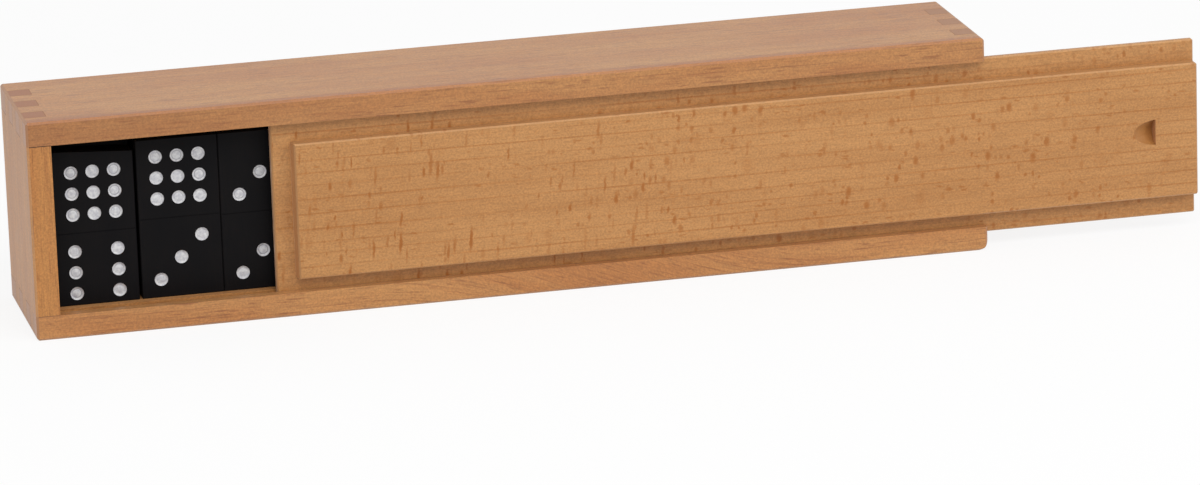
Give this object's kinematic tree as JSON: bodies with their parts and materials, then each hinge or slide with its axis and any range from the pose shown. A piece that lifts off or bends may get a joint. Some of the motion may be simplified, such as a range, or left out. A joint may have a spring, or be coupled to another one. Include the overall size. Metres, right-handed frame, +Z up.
{
  "type": "domino storage box",
  "caption": "Long finger-jointed wooden box standing on one side, with a grooved frame, a let-in floor board, a sliding lid with a thumb notch and stacked dominoes inside.",
  "frame": {"origin": "centre of the closed box's footprint on the long side that it stands on", "axes": "+X along the box towards the end where the lid leaves, -Y out of the lid's side, +Z up"},
  "size_m": [0.3245, 0.0465, 0.06],
  "materials": {
    "beech_side": "satin",
    "beech_end": "satin",
    "beech_lid": "satin",
    "plywood": "matt",
    "stained_wood": "satin"
  },
  "bodies": {
    "box": {"upper_side": "beech_side", "lower_side": "beech_side", "left_end": "beech_end", "right_end": "beech_end", "floor_board": "plywood", "domino_3_1": "stained_wood", "domino_3_2": "stained_wood", "domino_3_3": "stained_wood", "domino_4_0": "stained_wood", "domino_4_1": "stained_wood", "domino_4_2": "stained_wood", "domino_4_3": "stained_wood", "domino_4_4": "stained_wood", "domino_5_0": "stained_wood", "domino_5_1": "stained_wood", "domino_5_2": "stained_wood", "domino_5_3": "stained_wood", "domino_5_4": "stained_wood", "domino_5_5": "stained_wood", "domino_6_0": "stained_wood", "domino_6_1": "stained_wood", "domino_6_2": "stained_wood", "domino_6_3": "stained_wood", "domino_6_4": "stained_wood", "domino_6_5": "stained_wood", "domino_6_6": "stained_wood", "domino_7_0": "stained_wood", "domino_7_1": "stained_wood", "domino_7_2": "stained_wood", "domino_7_3": "stained_wood", "domino_7_4": "stained_wood", "domino_7_5": "stained_wood", "domino_7_6": "stained_wood", "domino_7_7": "stained_wood", "domino_8_0": "stained_wood", "domino_8_1": "stained_wood", "domino_8_2": "stained_wood", "domino_8_3": "stained_wood", "domino_8_4": "stained_wood", "domino_8_5": "stained_wood", "domino_8_6": "stained_wood", "domino_8_7": "stained_wood", "domino_8_8": "stained_wood", "domino_9_0": "stained_wood", "domino_9_1": "stained_wood", "domino_9_2": "stained_wood", "domino_9_3": "stained_wood", "domino_9_4": "stained_wood", "domino_9_5": "stained_wood", "domino_9_6": "stained_wood", "domino_9_7": "stained_wood", "domino_9_8": "stained_wood", "domino_9_9": "stained_wood"},
    "sliding_lid": {"lid": "beech_lid"}
  },
  "joints": [
    {"name": "lid_slide", "type": "slide", "parent": "box", "child": "sliding_lid", "axis": [1, 0, 0], "range_m": [-0.0605, 0.205]}
  ]
}
